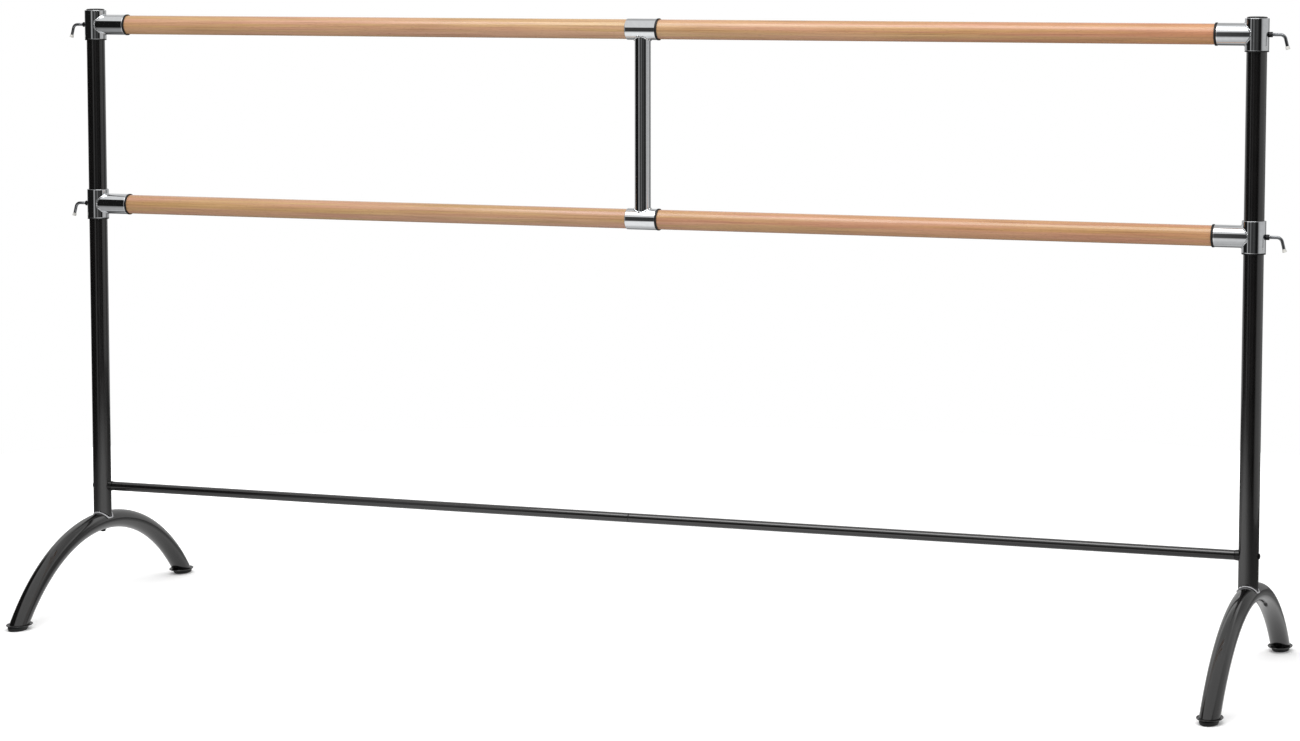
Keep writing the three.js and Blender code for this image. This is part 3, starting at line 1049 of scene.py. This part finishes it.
class BARRE_OT_legs(bpy.types.Operator):
    """Adds the arched legs with the gasket, bolt and washer that join each to its post"""

    bl_idname = "barre.legs"
    bl_label = "Arched legs"

    def execute(self, context):
        sizes = context.scene.barre_sizes
        for side in SIDES:
            place = end_place(side)
            bolt = f"{side}_leg_bolt"
            head = button_head(*LEG_BOLT_HEAD, *LEG_BOLT_KEY)
            head_place = end_place(side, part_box(bolt)[0].z + LEG_BOLT_HEAD[1])
            rows = [
                (f"{side}_arch_leg", leg_shape(), "black_powder_coat", place),
                (f"{side}_saddle_gasket", gasket_shape(sizes.gasket), "grey_gasket", place),
                (f"{side}_leg_washer", washer_shape(), "black_steel_fasteners", place),
                (bolt, head, "black_steel_fasteners", head_place),
            ]
            for node, shape, slot, where in rows:
                add_piece(f"{node}_finished", shape, finish_of(slot), "stand", where, [node], slot)
        return {"FINISHED"}


class BARRE_OT_feet(bpy.types.Operator):
    """Adds the four foot caps and their rubber soles"""

    bl_idname = "barre.feet"
    bl_label = "Feet"

    def execute(self, context):
        for side in SIDES:
            for where in ("front", "rear"):
                cap, pad = f"{side}_{where}_foot_cap", f"{side}_{where}_foot_pad"
                post_x = middle(f"{side}_post").x
                sign = -1 if where == "front" else 1
                cap_y = sign * math.sqrt(LEG_BEND**2 - (LEG_FOOT - LEG_CENTRE) ** 2)
                cap_place = Matrix.Translation((post_x, cap_y, 0))
                pad_place = Matrix.Translation((post_x, middle(pad).y, 0))
                rows = [
                    (f"{cap}_dished", foot_cap_shape(cap), "black_nylon", cap_place, cap),
                    (f"{pad}_sole", foot_pad_shape(pad), "black_rubber", pad_place, pad),
                ]
                for name, shape, slot, place, node in rows:
                    add_piece(name, shape, finish_of(slot), "stand", place, [node], slot)
        return {"FINISHED"}


class BARRE_OT_tie_rod(bpy.types.Operator):
    """Adds the two-part tie rod with its spacers and bolts"""

    bl_idname = "barre.tie_rod"
    bl_label = "Tie rod"

    def execute(self, context):
        for side in SIDES:
            lift = Matrix.Translation((0, 0, TIE_HEIGHT))
            node = f"{side}_tie_rod"
            slot = "black_powder_coat"
            add_piece(f"{node}_tube", tie_rod_shape(side), finish_of(slot), "stand", lift, [node], slot)
            place = end_place(side, TIE_HEIGHT)
            node = f"{side}_tie_spacer"
            slot = "black_nylon"
            add_piece(f"{node}_flared", spacer_shape(), finish_of(slot), "stand", place, [node], slot)
            node = f"{side}_tie_bolt"
            slot = "black_steel_fasteners"
            head = turn(button_head(*TIE_BOLT_HEAD, *TIE_BOLT_KEY), -math.pi / 2, "Y")
            seat = place @ Matrix.Translation((POST_RADIUS + GAP, 0, 0))
            add_piece(f"{node}_head", head, finish_of(slot), "stand", seat, [node], slot)
        return {"FINISHED"}


class BARRE_OT_tees(bpy.types.Operator):
    """Adds the four chrome tees: sleeve, socket, weld bead and nylon liner"""

    bl_idname = "barre.tees"
    bl_label = "Tees"

    def execute(self, context):
        sizes = context.scene.barre_sizes
        for level, side in TEES:
            place = end_place(side, bar_height(level))
            tee = f"{level}_{side}_tee"
            liner = f"{tee}_liner"
            slot = "chrome_plate"
            chrome = finish_of(slot)
            sleeve = sleeve_shape(sizes.rim)
            add_piece(f"{tee}_sleeve", sleeve, chrome, "barre_frame", place, [tee], slot)
            add_piece(f"{tee}_socket", socket_shape(sizes.rim), chrome, "barre_frame", place, slot=slot)
            weld = tee_weld_shape(sizes.weld)
            add_piece(f"{tee}_weld", weld, finish_of("weld"), "barre_frame", place, slot=slot)
            slot = "black_nylon"
            add_piece(f"{liner}_bush", liner_shape(), finish_of(slot), "barre_frame", place, [liner], slot)
        return {"FINISHED"}


class BARRE_OT_coupling(bpy.types.Operator):
    """Adds the chrome centre coupling: two sleeves, the strut between them and its lumpy welds"""

    bl_idname = "barre.coupling"
    bl_label = "Centre coupling"

    def execute(self, context):
        sizes = context.scene.barre_sizes
        slot = "chrome_plate"
        chrome = finish_of(slot)
        along = middle("centre_coupling").x
        place = Matrix.Translation((along, 0, 0))
        add_piece("coupling_strut", strut_shape(), chrome, "barre_frame", place, ["centre_coupling"], slot)
        for level in LEVELS:
            sleeve_place = Matrix.Translation((along, 0, bar_height(level)))
            sleeve = coupling_sleeve_shape(sizes.rim)
            add_piece(f"coupling_{level}_sleeve", sleeve, chrome, "barre_frame", sleeve_place, slot=slot)
            weld = coupling_weld_shape(sizes.coupling_weld, level)
            add_piece(f"coupling_{level}_weld", weld, finish_of("weld"), "barre_frame", place, slot=slot)
        return {"FINISHED"}


class BARRE_OT_barres(bpy.types.Operator):
    """Adds the four lengths of beech and the six rings at the sockets' mouths"""

    bl_idname = "barre.barres"
    bl_label = "Barres"

    # Each length was cut from another board: (redness at its left and right ends), paleness.
    boards = {
        "upper_left": ((0.5, 0.1), 1.0),
        "upper_right": ((0.2, 1.7), 1.0),
        "lower_left": ((0.6, 0.3), 0.96),
        "lower_right": ((0.8, 1.3), 0.97),
    }

    def execute(self, context):
        for index, (name, (redness, paleness)) in enumerate(self.boards.items()):
            node = f"{name}_bar"
            offset = (3.7 * index, 0.31 * index, 0.17 * index)
            low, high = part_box(node)
            beech = varnished_beech(f"varnished_beech_{name}", offset, (low.x, high.x), redness, paleness)
            place = Matrix.Translation((0, 0, middle(node).z))
            shape = bar_shape(node)
            add_piece(f"{node}_beech", shape, beech, "barre_frame", place, [node], "varnished_beech")
        slot = "black_rubber"
        for level in LEVELS:
            for where in ("left", "centre", "right"):
                node = f"{level}_{where}_bar_ring"
                place = Matrix.Translation(middle(node))
                ring = ring_shape()
                add_piece(f"{node}_rounded", ring, finish_of(slot), "barre_frame", place, [node], slot)
        return {"FINISHED"}


class BARRE_OT_hand_screws(bpy.types.Operator):
    """Adds the four hand screws with their lock nuts and pale tips"""

    bl_idname = "barre.hand_screws"
    bl_label = "Hand screws"

    def execute(self, context):
        pitch = context.scene.barre_sizes.thread_pitch
        for level, side in TEES:
            place = end_place(side, bar_height(level))
            stem = f"{level}_{side}"
            rows = [
                (f"{stem}_lock_nut", nut_shape(), "black_steel_fasteners", "barre_frame"),
                (f"{stem}_hand_screw", screw_shape(pitch), "zinc_plated_steel", f"{stem}_screw"),
                (f"{stem}_screw_tip", tip_shape(), "pale_plastic", f"{stem}_screw"),
            ]
            for node, shape, slot, body in rows:
                add_piece(f"{node}_finished", shape, finish_of(slot), body, place, [node], slot)
        return {"FINISHED"}


class BARRE_OT_inner_parts(bpy.types.Operator):
    """Gives the hidden inserts and spigot, which keep their CAD shape, their plated finish"""

    bl_idname = "barre.inner_parts"
    bl_label = "Inner parts"

    def execute(self, context):
        for node in ("left_post_insert", "right_post_insert", "tie_rod_spigot"):
            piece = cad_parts[node]
            for material_slot in piece.material_slots:
                material_slot.material = finish_of("zinc_plated_steel")
        return {"FINISHED"}


# ------------------------------------------------------------------------------------------ stage

CAMERA_PLACE = Vector((2.426, -6.384, 1.374))
CAMERA_TURN = math.radians(20.64)  # to the left of straight ahead
CAMERA_TILT = math.radians(5.28)  # below level
CAMERA_SHIFT = -0.077  # of the frame's width

# Grey levels round the studio's wall, from the rear by the left to the front at 0.5 and on by the right.
PANEL_LEVELS = [
    (0.000, 0.45),
    (0.194, 0.45),
    (0.210, 0.01),
    (0.380, 0.01),
    (0.392, 0.36),
    (0.415, 0.36),
    (0.430, 0.05),
    (0.467, 0.03),
    (0.490, 0.13),
    (0.515, 0.13),
    (0.535, 0.03),
    (0.600, 0.06),
    (0.639, 0.01),
    (0.675, 0.01),
    (0.705, 0.45),
    (0.733, 0.52),
    (0.833, 0.52),
    (0.861, 0.22),
    (0.944, 0.22),
    (0.960, 0.45),
]
# Heights of the panels' tops in metres, at the same positions round the wall.
PANEL_TOPS = [
    (0.00, 1.6),
    (0.19, 1.6),
    (0.22, 2.8),
    (0.37, 2.8),
    (0.43, 2.1),
    (0.48, 2.1),
    (0.53, 2.4),
    (0.85, 2.4),
    (0.95, 1.6),
]
# How bright the floor looks in chrome, by distance from a spot before the barre as a share of its radius.
FLOOR_LEVELS = [(0.22, 0.95), (0.39, 0.60), (0.52, 0.40), (0.65, 0.20), (1.0, 0.06)]
FLOOR_SPOT = (-0.2, -1.1, 0.0)
# The floor between the feet shows as pale streaks along the undersides of both legs.
FEET_MIDDLE = (middle("right_post").x, 0.0, 0.0)
FEET_REACH = (0.45, 0.80)  # metres: full inside the first, none beyond the second
FEET_LEVEL = 0.5
# The floor's own light keeps it white, and grows towards its rim, where the softbox's light falls off.
FLOOR_GLOW = (0.08, 0.5)
GLOW_REACH = (1.45, 2.2)
SOFTBOX_SIZE = (3.6, 1.6)  # metres along X and across
SOFTBOX_PLACE = (0.2, -1.2, 3.4)
SOFTBOX_TILT = math.radians(20)  # its face leans towards the barre
# Pieces that mirror the open sky above the barre, not the softbox.
OUT_OF_SOFTBOX = ("left_arch_leg_finished", "right_arch_leg_finished", "coupling_upper_sleeve")
WHITE = (1.0, 1.0, 1.0, 1.0)
BLACK = (0.0, 0.0, 0.0, 1.0)
SKY = (0.75, 0.75, 0.75, 1.0)  # what chrome mirrors above the panels
REAR_SKY = (0.45, 0.45, 0.45, 1.0)
UNDERSIDE = (0.55, 0.55, 0.55, 1.0)  # soft light from below
PANEL_FADE = 0.25  # metres over which a panel's top fades into the sky


def ramp(tree, value, stops):
    """A grey ramp of (position, level) stops."""
    node = add_node(tree, "ShaderNodeValToRGB", {"Fac": value})
    elements = node.color_ramp.elements
    for index, (position, level) in enumerate(stops):
        element = elements[index] if index < 2 else elements.new(position)
        element.position = position
        element.color = (level, level, level, 1.0)
    return node.outputs["Color"]


def floor_material(radius):
    """White floor that shows only contact shadows to the camera, and darkens to its rim in reflections."""
    material, tree, place = start_material("pale_floor")
    rays = add_node(tree, "ShaderNodeLightPath").outputs
    from_middle = add_node(tree, "ShaderNodeVectorMath", {0: place}, operation="LENGTH").outputs["Value"]
    cloud = noise(tree, stretch(tree, place, (0.8,) * 3), detail=2.0)
    paint = mix_colour(tree, remap(tree, cloud, 0.0, 1.0), (*srgb("#f8f8f8"), 1), (*srgb("#fbfbfb"), 1))
    lit = mix_colour(tree, rays["Is Diffuse Ray"], paint, (*srgb("#b8b6b4"), 1))
    glow = remap(tree, from_middle, *FLOOR_GLOW, *GLOW_REACH)
    from_spot = add_node(tree, "ShaderNodeVectorMath", {0: place, 1: FLOOR_SPOT}, operation="DISTANCE")
    around = ramp(tree, remap(tree, from_spot.outputs["Value"], 0.0, 1.0, 0.0, radius), FLOOR_LEVELS)
    either_side = add_node(tree, "ShaderNodeVectorMath", {0: place}, operation="ABSOLUTE").outputs["Vector"]
    from_feet = add_node(tree, "ShaderNodeVectorMath", {0: either_side, 1: FEET_MIDDLE}, operation="DISTANCE")
    between_feet = remap(tree, from_feet.outputs["Value"], FEET_LEVEL, 0.0, *FEET_REACH)
    brighter = add_node(tree, "ShaderNodeMath", {0: around, 1: between_feet}, operation="MAXIMUM")
    reflected = brighter.outputs["Value"]
    inputs = {
        "Base Color": mix_colour(tree, rays["Is Glossy Ray"], lit, BLACK),
        "Roughness": 0.8,
        "Specular IOR Level": 0.2,
        "Emission Color": WHITE,
        "Emission Strength": mix_colour(tree, rays["Is Glossy Ray"], glow, reflected),
    }
    finish_material(tree, inputs)
    return material


def panel_material():
    """Dark and pale panels on the studio's wall, seen only in reflections. They give chrome its bands."""
    material, tree, place = start_material("studio_panels")
    parts = add_node(tree, "ShaderNodeSeparateXYZ", {"Vector": place}).outputs
    front = add_node(tree, "ShaderNodeMath", {0: parts["Y"], 1: -1.0}, operation="MULTIPLY").outputs["Value"]
    azimuth = add_node(tree, "ShaderNodeMath", {0: parts["X"], 1: front}, operation="ARCTAN2")
    position = remap(tree, azimuth.outputs["Value"], 0.0, 1.0, -math.pi, math.pi)
    level = ramp(tree, position, PANEL_LEVELS)
    # A ramp's colours stop at 1, so the tops are held in tenths.
    top = ramp(tree, position, [(at, height / 10) for at, height in PANEL_TOPS])
    tall = add_node(tree, "ShaderNodeMath", {0: top, 1: 10.0}, operation="MULTIPLY").outputs["Value"]
    fade = add_node(tree, "ShaderNodeMath", {0: tall, 1: PANEL_FADE}, operation="ADD").outputs["Value"]
    seen = mix_colour(tree, remap(tree, parts["Z"], 0.0, 1.0, tall, fade), level, SKY)
    light = add_node(tree, "ShaderNodeEmission", {"Color": seen})
    add_node(tree, "ShaderNodeOutputMaterial", {"Surface": light.outputs["Emission"]})
    return material


def room_light(world, strength):
    """A white room, brighter overhead and in front than below and behind."""
    world.use_nodes = True
    tree = world.node_tree
    tree.nodes.clear()
    direction = add_node(tree, "ShaderNodeTexCoord").outputs["Generated"]
    parts = add_node(tree, "ShaderNodeSeparateXYZ", {"Vector": direction}).outputs
    rays = add_node(tree, "ShaderNodeLightPath").outputs
    soft = mix_colour(tree, remap(tree, parts["Z"], 0.0, 1.0, -0.3, 0.3), UNDERSIDE, WHITE)
    mirrored = mix_colour(tree, remap(tree, parts["Y"], 0.0, 1.0, 0.1, 0.5), SKY, REAR_SKY)
    lit = mix_colour(tree, rays["Is Glossy Ray"], soft, mirrored)
    seen = mix_colour(tree, rays["Is Camera Ray"], lit, WHITE)
    background = add_node(tree, "ShaderNodeBackground", {"Color": seen, "Strength": strength})
    add_node(tree, "ShaderNodeOutputWorld", {"Surface": background.outputs["Background"]})


def add_stage_piece(name, shape, material):
    mesh = bpy.data.meshes.new(name)
    shape.to_mesh(mesh)
    shape.free()
    mesh.materials.append(material)
    piece = bpy.data.objects.new(name, mesh)
    bpy.context.scene.collection.objects.link(piece)
    return piece


class BARRE_OT_stage(bpy.types.Operator):
    """Adds the pale floor, the soft studio light and the camera"""

    bl_idname = "barre.stage"
    bl_label = "Stage"

    def execute(self, context):
        settings = context.scene.barre_stage
        scene = context.scene
        scene.view_settings.view_transform = "Standard"

        radius = settings.floor_radius
        shape = bmesh.new()
        bmesh.ops.create_circle(shape, cap_ends=True, radius=radius, segments=ROUND)
        add_stage_piece("floor", shape, floor_material(radius))
        shape = revolve([(radius, 0.0), (radius, settings.wall_height)])
        wall = add_stage_piece("studio_wall", shape, panel_material())
        wall.visible_camera = wall.visible_diffuse = wall.visible_shadow = False

        scene.world = bpy.data.worlds.new("studio")
        room_light(scene.world, settings.daylight)

        light = bpy.data.lights.new("overhead_softbox", "AREA")
        light.shape = "RECTANGLE"
        light.size, light.size_y = SOFTBOX_SIZE
        light.energy = settings.key_power
        softbox = bpy.data.objects.new("overhead_softbox", light)
        softbox.location = SOFTBOX_PLACE
        softbox.rotation_euler = (SOFTBOX_TILT, 0, 0)
        scene.collection.objects.link(softbox)
        shaded = bpy.data.collections.new("out_of_softbox")
        for name in OUT_OF_SOFTBOX:
            shaded.objects.link(bpy.data.objects[name])
        for member in shaded.collection_objects:
            member.light_linking.link_state = "EXCLUDE"
        softbox.light_linking.receiver_collection = shaded

        camera_data = bpy.data.cameras.new("camera")
        camera_data.lens = settings.lens
        camera_data.shift_y = CAMERA_SHIFT
        camera = bpy.data.objects.new("camera", camera_data)
        camera.location = CAMERA_PLACE
        camera.rotation_euler = (math.pi / 2 - CAMERA_TILT, 0, CAMERA_TURN)
        scene.collection.objects.link(camera)
        scene.camera = camera
        return {"FINISHED"}


# ------------------------------------------------------------------------------------ registration

STEPS = (
    "posts",
    "legs",
    "feet",
    "tie_rod",
    "tees",
    "coupling",
    "barres",
    "hand_screws",
    "inner_parts",
    "stage",
)


class BARRE_PT_panel(bpy.types.Panel):
    """Lists the steps that build the barre"""

    bl_idname = "BARRE_PT_panel"
    bl_label = "Double Ballet Barre"
    bl_space_type = "VIEW_3D"
    bl_region_type = "UI"
    bl_category = "Barre"

    def draw(self, context):
        for step in STEPS:
            self.layout.operator(f"barre.{step}")
        for group in GROUPS:
            settings = getattr(context.scene, group)
            for name in settings.bl_rna.properties.keys():
                if name not in ("rna_type", "name"):
                    self.layout.prop(settings, name)


GROUPS = {"barre_sizes": BarreSizes, "barre_colours": BarreColours, "barre_stage": StageSettings}

CLASSES = (
    BarreSizes,
    BarreColours,
    StageSettings,
    BARRE_OT_stage,
    BARRE_OT_posts,
    BARRE_OT_legs,
    BARRE_OT_feet,
    BARRE_OT_tie_rod,
    BARRE_OT_tees,
    BARRE_OT_coupling,
    BARRE_OT_barres,
    BARRE_OT_hand_screws,
    BARRE_OT_inner_parts,
    BARRE_PT_panel,
)


def register():
    for cls in CLASSES:
        bpy.utils.register_class(cls)
    for name, group in GROUPS.items():
        setattr(bpy.types.Scene, name, bpy.props.PointerProperty(type=group))


def unregister():
    for name in GROUPS:
        delattr(bpy.types.Scene, name)
    for cls in reversed(CLASSES):
        bpy.utils.unregister_class(cls)


def main():
    register()
    for step in STEPS:
        getattr(bpy.ops.barre, step)()


if __name__ == "__main__":
    main()
